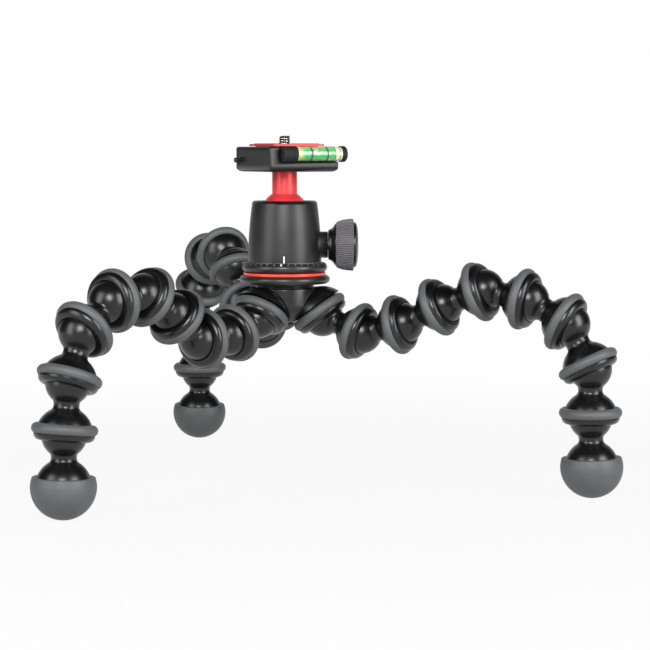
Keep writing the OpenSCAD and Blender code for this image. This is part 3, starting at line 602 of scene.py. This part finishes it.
# Housing: the crown of the head, cast and coated in fine satin black, with a drop notch at the back.
# One white line is painted at its foot, to point at the scale, and a boss at the right carries the knob.
coated_black, g, shade = new_finish("coated_black")
cloud = g.noise(100.0, 3.0)
grit = g.noise(1500.0, 3.0, 0.55)
shade(Base_Color=g.ramp(0.6 * cloud + 0.4 * grit, (0.36, (0.004, 0.004, 0.0039)), (0.64, (0.016, 0.016, 0.0155))),
      Roughness=0.34 + 0.12 * grit,
      Normal=g.bump(grit, 0.5, 0.00008))
new_piece("crown", cad_copy("crown", "housing"), coated_black, "head", "black_satin", "housing")
line_low, line_top = crown_z + 0.1, crown_z + 3.8
stripe = [(19.91, line_low), (19.88, line_top), (19.7, line_top), (19.7, line_low)]
line = mark_mesh("index_line", stripe, mark_half)
line.transform(head_at)
new_piece("index_line", line, white_paint, "head", "black_satin")

# Ball and stem: turned in one piece from aluminium and anodised red.
# The housing holds the ball on its seat, and the clamp is screwed on the stem's end.
ball_z, stem_r, stem_top, head_ball_r = 142.1, 6.75, 164.9, 12.8
root = sqrt(head_ball_r ** 2 - stem_r ** 2)
stem = [(0, ball_z - head_ball_r)] + arc((0, ball_z), head_ball_r, -90, atan2(root, stem_r) * 180 / pi, 48)[1:]
stem += rounded([(stem_r, ball_z + root + 0.3), (stem_r, stem_top, 0.2), (0, stem_top)])
new_piece("red_ball", turned("red_ball", stem), red_metal, "stem", "red_metal", "ball_stem")

# Lock knob: a black bell on a steel spindle, with a sleeve of grey rubber and a domed black cap pressed in.
# Fine ribs run along the sleeve, close together all round.
knob_z, sleeve_core, sleeve_near, sleeve_far = 125.4, 11.0, 27.85, 37.35
knob_at = head_at @ Matrix.Translation((0, 0, knob_z * MM)) @ Matrix.Rotation(pi / 2, 4, "Y")
bell = rounded([(3.1, 23.6), (8.0, 23.6, 0.7), (8.9, 25.6, 2.6), (11.9, 27.75, 0.25), (10.9, 27.8), (10.9, 37.3),
                (3.1, 37.3)])
new_piece("knob_bell", turned("knob_bell", bell, True, knob_at), black_plastic, "knob", "black_gloss", "knob_body")
cap = rounded([(0, 37.4), (12.15, 37.4, 0.15), (12.15, 38.65, 0.9), (9.0, 39.55, 3.0), (5.0, 39.85, 3.0), (0, 39.95)])
new_piece("knob_end", turned("knob_end", cap, False, knob_at), black_plastic, "knob", "black_gloss", "knob_cap")
grip_rubber, g, shade = new_finish("grip_rubber")
cloud = g.noise(150.0, 2.0)
pores = g.noise(3400.0, 3.0)
shade(Base_Color=g.ramp(0.7 * cloud + 0.3 * pores, (0.3, (0.1, 0.095, 0.108)), (0.7, (0.135, 0.13, 0.143))),
      Roughness=0.5 + 0.15 * pores,
      Normal=g.bump(pores, 0.3, 0.00005))
rib_tree, start = new_shape("ribs_on_sleeve", ("Ribs", "Int"), ("Near", "Vector"), ("Middle", "Vector"),
                            ("Far", "Vector"), ("Half Width", "Float"))
spine = rib_tree.node("GeometryNodeCurveQuadraticBezier", {}, {
    "Resolution": 10, "Start": start.out("Near"), "Middle": start.out("Middle"), "End": start.out("Far")})
rib = rib_tree.node("GeometryNodeCurveToMesh", {}, {
    "Curve": spine, "Profile Curve": rib_tree.node("GeometryNodeCurvePrimitiveCircle", {},
                                                   {"Resolution": 8, "Radius": start.out("Half Width")}),
    "Fill Caps": True})
ring = rib_tree.node("GeometryNodeMeshCircle", {}, {"Vertices": start.out("Ribs"), "Radius": 0.01 * MM})
turn = rib_tree.node("FunctionNodeAlignRotationToVector", {"axis": "X"},
                     {"Vector": rib_tree.node("GeometryNodeInputPosition")})
end_shape(rib_tree, rib_tree.node("GeometryNodeInstanceOnPoints", {}, {
    "Points": ring, "Instance": rib, "Rotation": turn}), grip_rubber)
mesh = grown("knob_ribs", bpy.data.meshes.new("knob_ribs"), rib_tree, Ribs=72, Near=(11.75 * MM, 0, 28.1 * MM),
             Middle=(13.6 * MM, 0, 30.9 * MM), Far=(13.72 * MM, 0, 37.1 * MM), **{"Half Width": 0.34 * MM})
mesh.transform(knob_at)
mesh.shade_smooth()
new_piece("knob_ribs", mesh, grip_rubber, "knob", "grip_rubber")
sleeve = [(sleeve_core, sleeve_near), (11.5, sleeve_near)] + [
    tuple((1 - t) ** 2 * a + 2 * t * (1 - t) * b + t * t * c for a, b, c in ((11.5, 13.3, 13.42), (28.0, 30.9, 37.2)))
    for t in (i / 10 for i in range(11))] + [(13.38, sleeve_far), (sleeve_core, sleeve_far)]
new_piece("knob_sleeve", turned("knob_sleeve", sleeve, True, knob_at), grip_rubber, "knob", "grip_rubber", "knob_grip")

# Clamp: a cast block with soft corners, coated black, screwed to the stem; its plate slides out at the back.
# A groove along the front edge holds the level vial, and a small release pin sticks out at the left.
clamp_z, clamp_turn, clamp_shift = 164.9, 30, 1.5
clamp_at = head_at @ Matrix.Translation((0, 0, clamp_z * MM)) @ Matrix.Rotation(radians(clamp_turn), 4, "Z")
clamp_black, g, shade = new_finish("clamp_black")
cloud = g.noise(100.0, 3.0)
grit = g.noise(1700.0, 3.0, 0.55)
shade(Base_Color=g.ramp(0.6 * cloud + 0.4 * grit, (0.3, (0.003, 0.003, 0.003)), (0.7, (0.006, 0.006, 0.0057))),
      Roughness=0.3 + 0.1 * grit,
      Normal=g.node("ShaderNodeBump", {}, {"Strength": 0.35, "Distance": 0.00006, "Height": grit,
                                           "Normal": g.node("ShaderNodeBevel", {"samples": 8}, {"Radius": 0.0016})}))
block = cad_copy("clamp_block", "clamp_body", sharp=40, flat=True)
new_piece("clamp_block", block, clamp_black, "stem", "black_clamp", "clamp_body")
clamp_left, pin_y, pin_z = clamp_shift - 21, 15.2, 6.2
pin_r, pin_out, pin_in = 1.35, 3.0, 11.5
pin_at = clamp_at @ Matrix.Translation((clamp_left * MM, pin_y * MM, pin_z * MM)) @ Matrix.Rotation(pi / 2, 4, "Y")
pin = rounded([(0, -pin_out), (pin_r, -pin_out, 0.4), (pin_r, pin_in), (0, pin_in)])
new_piece("release_pin", turned("release_pin", pin, False, pin_at, 48), satin_black, "button", "black_clamp",
          "release_button")

# Level vial: a clear acrylic tube of green fluid with its bubble at the top, glued into the clamp's groove.
# Black rings are printed on it, its right end is a pale plug, and a black cap closes each end.
vial_at = clamp_at @ Matrix.Translation((clamp_shift * MM, -19.5 * MM, 9.5 * MM)) @ Matrix.Rotation(pi / 2, 4, "Y")
vial_middle, vial_along = vial_at @ Vector((0, 0, 7.9 * MM)), vial_at.to_3x3() @ Vector((0, 0, 1))
caps = bmesh.new()
for profile in (
        rounded([(0, -14.4), (4.3, -14.4, 0.6), (4.3, -8.4), (4.1, -8.2), (4.1, -8.0), (4.3, -7.8), (4.3, -5.7, 0.25),
                                (3.9, -5.7), (3.9, -6.5), (0, -6.5)]),
        [(0, 22.35), (3.9, 22.35), (3.9, 21.5)] + rounded([(4.3, 21.5, 0.2), (4.3, 22.5), (4.15, 22.65), (4.15, 22.85),
                                                         (4.3, 23.0), (4.3, 24.4, 0.5), (0, 24.4)])):
    caps.from_mesh(lathe("cap", profile, steps=64))
mesh = bpy.data.meshes.new("vial_ends")
caps.to_mesh(mesh)
caps.free()
mesh.transform(vial_at)
mesh.set_sharp_from_angle(angle=radians(38))
new_piece("vial_ends", mesh, slot_black, "stem", "black_gloss", "vial_caps")

green_fluid, g, shade = new_finish("green_fluid")
spot = g.node("ShaderNodeTexCoord", out="Object")
away = g.node("ShaderNodeVectorMath", {"operation": "SUBTRACT"}, {0: spot, 1: vial_middle})
along = g.node("ShaderNodeVectorMath", {"operation": "DOT_PRODUCT"}, {0: away, 1: vial_along}, out="Value")
ends = g.node("ShaderNodeMapRange", {"interpolation_type": "SMOOTHSTEP"}, {
    "Value": g.node("ShaderNodeMath", {"operation": "ABSOLUTE"}, {0: along}),
    "From Min": 0.0075, "From Max": 0.0125})
height = g.node("ShaderNodeSeparateXYZ", {}, {0: away}).out("Z")
rise = g.node("ShaderNodeMath", {"operation": "ABSOLUTE"}, {0: height})
rim = g.node("ShaderNodeMapRange", {"interpolation_type": "SMOOTHSTEP"}, {
    "Value": rise, "From Min": 0.0018, "From Max": 0.0036, "To Max": 0.75})
swirl = g.noise(420.0, 2.0)
mask = g.node("ShaderNodeMath", {"operation": "MAXIMUM", "use_clamp": True}, {0: ends + 0.25 * swirl - 0.1, 1: rim})
green = g.ramp(mask, (0.0, (0.03, 0.4, 0.09)), (0.55, (0.15, 0.5, 0.12)), (1.0, (0.5, 0.62, 0.2)))
across, upward = (along + 0.0019) / 0.0024, (height - 0.0012) / 0.002
air = g.node("ShaderNodeMapRange", {"interpolation_type": "SMOOTHSTEP"}, {
    "Value": across * across + upward * upward, "From Min": 0.7, "From Max": 1.05, "To Min": 1.0, "To Max": 0.0})
pale = g.ramp(swirl, (0.38, (0.13, 0.26, 0.09)), (0.6, (0.5, 0.58, 0.38)))
plug = g.node("ShaderNodeMapRange", {}, {"Value": along, "From Min": 0.0092, "From Max": 0.0096})
coloured = g.node("ShaderNodeMix", {"data_type": "RGBA"}, {0: air, 6: green, 7: pale}, out=2)
shade(Base_Color=g.node("ShaderNodeMix", {"data_type": "RGBA"}, {0: plug, 6: coloured, 7: (0.66, 0.7, 0.42, 1)}, out=2),
      Roughness=0.16 + 0.1 * swirl, Coat_Weight=1.0, Coat_Roughness=0.04)
fluid = [(0, -5.7), (3.7, -5.7), (3.7, 21.5), (0, 21.5)]
new_piece("green_core", turned("green_core", fluid, False, vial_at, 64), green_fluid, "stem", "vial_green",
          "vial_fluid")
bubble_white, g, shade = new_finish("bubble_white")
haze = g.noise(700.0, 2.0)
shade(Base_Color=g.ramp(haze, (0.38, (0.22, 0.36, 0.15)), (0.6, (0.55, 0.62, 0.42))),
      Roughness=0.12 + 0.1 * haze, Coat_Weight=1.0)
bubble = bmesh.new()
bmesh.ops.create_uvsphere(bubble, u_segments=40, v_segments=24, radius=1.0)
bubble.transform(vial_at @ Matrix.Translation((-1.75 * MM, 0, 6.0 * MM))
                 @ Matrix.Diagonal((2.0 * MM, 3.35 * MM, 2.5 * MM, 1)))
mesh = bpy.data.meshes.new("bubble")
bubble.to_mesh(mesh)
bubble.free()
mesh.shade_smooth()
new_piece("bubble", mesh, bubble_white, "stem", "vial_clear")
printed_black, g, shade = new_finish("printed_black")
speck = g.noise(3000.0, 2.0)
shade(Base_Color=g.ramp(speck, (0.3, (0.01, 0.02, 0.012)), (0.7, (0.02, 0.035, 0.02))),
      Roughness=0.3 + 0.1 * speck)
for name, place, half in (("level_line_left", 2.8, 0.45), ("level_line_right", 12.4, 0.45), ("end_line", 17.2, 0.16),
                          ("end_ring", 20.2, 0.2)):
    line = [(3.66, place - half), (3.76, place - half), (3.76, place + half), (3.66, place + half)]
    new_piece(name, turned(name, line, True, vial_at, 64), printed_black, "stem", "black_gloss")
clear_acrylic, g, shade = new_finish("clear_acrylic")
smear = g.noise(260.0, 2.0)
edge = g.node("ShaderNodeLayerWeight", {}, {"Blend": 0.35}, out="Facing")
shade(Base_Color=(0.86, 0.94, 0.84, 1), Roughness=0.04 + 0.05 * smear, Alpha=0.04 + 0.22 * edge * edge)
tube = rounded([(3.0, -6.4), (3.85, -6.4), (3.85, 22.2), (3.0, 22.2)])
new_piece("vial_glass", turned("vial_glass", tube, True, vial_at, 64), clear_acrylic, "stem", "vial_clear", "vial_tube")

# Release plate: milled aluminium, anodised red, with a dovetail under it that slides in the clamp.
# A thin ribbed rubber pad is let into its top.
new_piece("red_plate", cad_copy("red_plate", "plate", flat=True), red_metal, "plate", "red_metal", "plate")
pad_rubber, g, shade = new_finish("pad_rubber")
spot = g.node("ShaderNodeTexCoord", out="Object")
pores = g.noise(2600.0, 3.0)
ribs = g.node("ShaderNodeTexWave", {"wave_type": "BANDS", "bands_direction": "X"}, {
    "Vector": g.node("ShaderNodeMapping", {}, {"Vector": spot, "Rotation": (0, 0, radians(-30))}), "Scale": 160.0})
shade(Base_Color=g.ramp(0.6 * ribs + 0.4 * pores, (0.2, (0.016, 0.016, 0.017)), (0.8, (0.032, 0.032, 0.033))),
      Roughness=0.6 + 0.15 * pores,
      Normal=g.bump(ribs + 0.2 * pores, 0.6, 0.0002))
new_piece("rubber_pad", cad_copy("rubber_pad", "plate_pad"), pad_rubber, "plate", "pad_rubber", "plate_pad")

# Camera screw: bright steel, a quarter inch across with twenty threads to the inch, held captive in the plate.
# The hidden studs, screws, clip and spindle of the head take the same steel.
bright_steel, g, shade = new_finish("bright_steel")
spot = g.node("ShaderNodeTexCoord", out="Object")
stretched = g.node("ShaderNodeMapping", {}, {"Vector": spot, "Scale": (1, 1, 9)})
drawn = g.node("ShaderNodeTexNoise", {}, {"Vector": stretched, "Scale": 900.0, "Detail": 3.0})
shade(Base_Color=g.ramp(drawn, (0.3, (0.4, 0.35, 0.32)), (0.7, (0.6, 0.54, 0.5))),
      Metallic=1.0, Roughness=0.2 + 0.14 * drawn)
thread_steel, g, shade = new_finish("thread_steel")
spot = g.node("ShaderNodeTexCoord", out="Object")
drawn = g.noise(900.0, 3.0)
away = g.node("ShaderNodeSeparateXYZ", {}, {0: g.node("ShaderNodeVectorMath", {"operation": "SUBTRACT"},
                                                      {0: spot, 1: clamp_at.translation})})
# The base colour goes dark brown close to the axis, in the thread's roots and on the core, and light at the crests and
# head: painted shade in the roots.
out_sq = away * away + away.out("Y") * away.out("Y")
root_shade = g.node("ShaderNodeMapRange", {}, {"Value": out_sq, "From Min": 0.00265 ** 2, "From Max": 0.00305 ** 2})
shade(Base_Color=g.ramp(root_shade + 0.2 * drawn - 0.1, (0.0, (0.05, 0.032, 0.026)), (1.0, (0.66, 0.58, 0.53))),
      Metallic=1.0, Roughness=0.22 + 0.14 * drawn)
plate_top, screw_top, head_low, head_top, head_r, root_r = 14.9, 19.5, 9.0, 11.2, 6.0, 2.45
pitch, thread_turns = 1.27, 3.2
core = rounded([(0, head_low), (head_r, head_low, 0.3), (head_r, head_top, 0.2), (root_r, head_top),
                (root_r, screw_top - 0.4, 0.5), (0, screw_top - 0.05)])
new_piece("screw_core", turned("screw_core", core, False, clamp_at, 64), thread_steel, "screw", "steel", "camera_screw")
thread_tree, start = new_shape("thread_on_screw", ("Turns", "Float"), ("Radius", "Float"), ("Rise", "Float"),
                               ("Depth", "Float"))
coil = thread_tree.node("GeometryNodeCurveSpiral", {}, {
    "Resolution": 48, "Rotations": start.out("Turns"), "Start Radius": start.out("Radius"),
    "End Radius": start.out("Radius"), "Height": start.out("Rise")})
upright = thread_tree.node("GeometryNodeSetCurveNormal", {"mode": "Z_UP"}, {"Curve": coil})
tooth = thread_tree.node("GeometryNodeCurvePrimitiveCircle", {}, {"Resolution": 4, "Radius": start.out("Depth")})
end_shape(thread_tree, thread_tree.node("GeometryNodeCurveToMesh", {}, {
    "Curve": upright, "Profile Curve": tooth, "Fill Caps": True}), thread_steel)
mesh = grown("screw_thread", bpy.data.meshes.new("screw_thread"), thread_tree, Turns=thread_turns,
             Radius=2.52 * MM, Rise=thread_turns * pitch * MM, Depth=0.63 * MM)
mesh.transform(clamp_at @ Matrix.Translation((0, 0, (plate_top - 0.1) * MM)))
new_piece("screw_thread", mesh, thread_steel, "screw", "steel")
frame["nodes"]["knob_washer"].data.materials.clear()
frame["nodes"]["knob_washer"].data.materials.append(satin_black)
for node in ("hub_stud", "platform_screws", "pan_clip", "lock_spindle", "stem_screw"):
    frame["nodes"][node].data.materials.clear()
    frame["nodes"][node].data.materials.append(bright_steel)

# Slip pieces inside the head: a washer under the housing and the seat under the ball.
# Both are moulded in natural slip plastic and lie loose between the turning pieces.
slip_plastic, g, shade = new_finish("slip_plastic")
cloud = g.noise(300.0, 3.0)
shade(Base_Color=g.ramp(cloud, (0.3, (0.6, 0.58, 0.52)), (0.7, (0.72, 0.7, 0.64))),
      Roughness=0.4 + 0.1 * cloud)
for node in ("pan_washer", "ball_seat"):
    frame["nodes"][node].data.materials.clear()
    frame["nodes"][node].data.materials.append(slip_plastic)
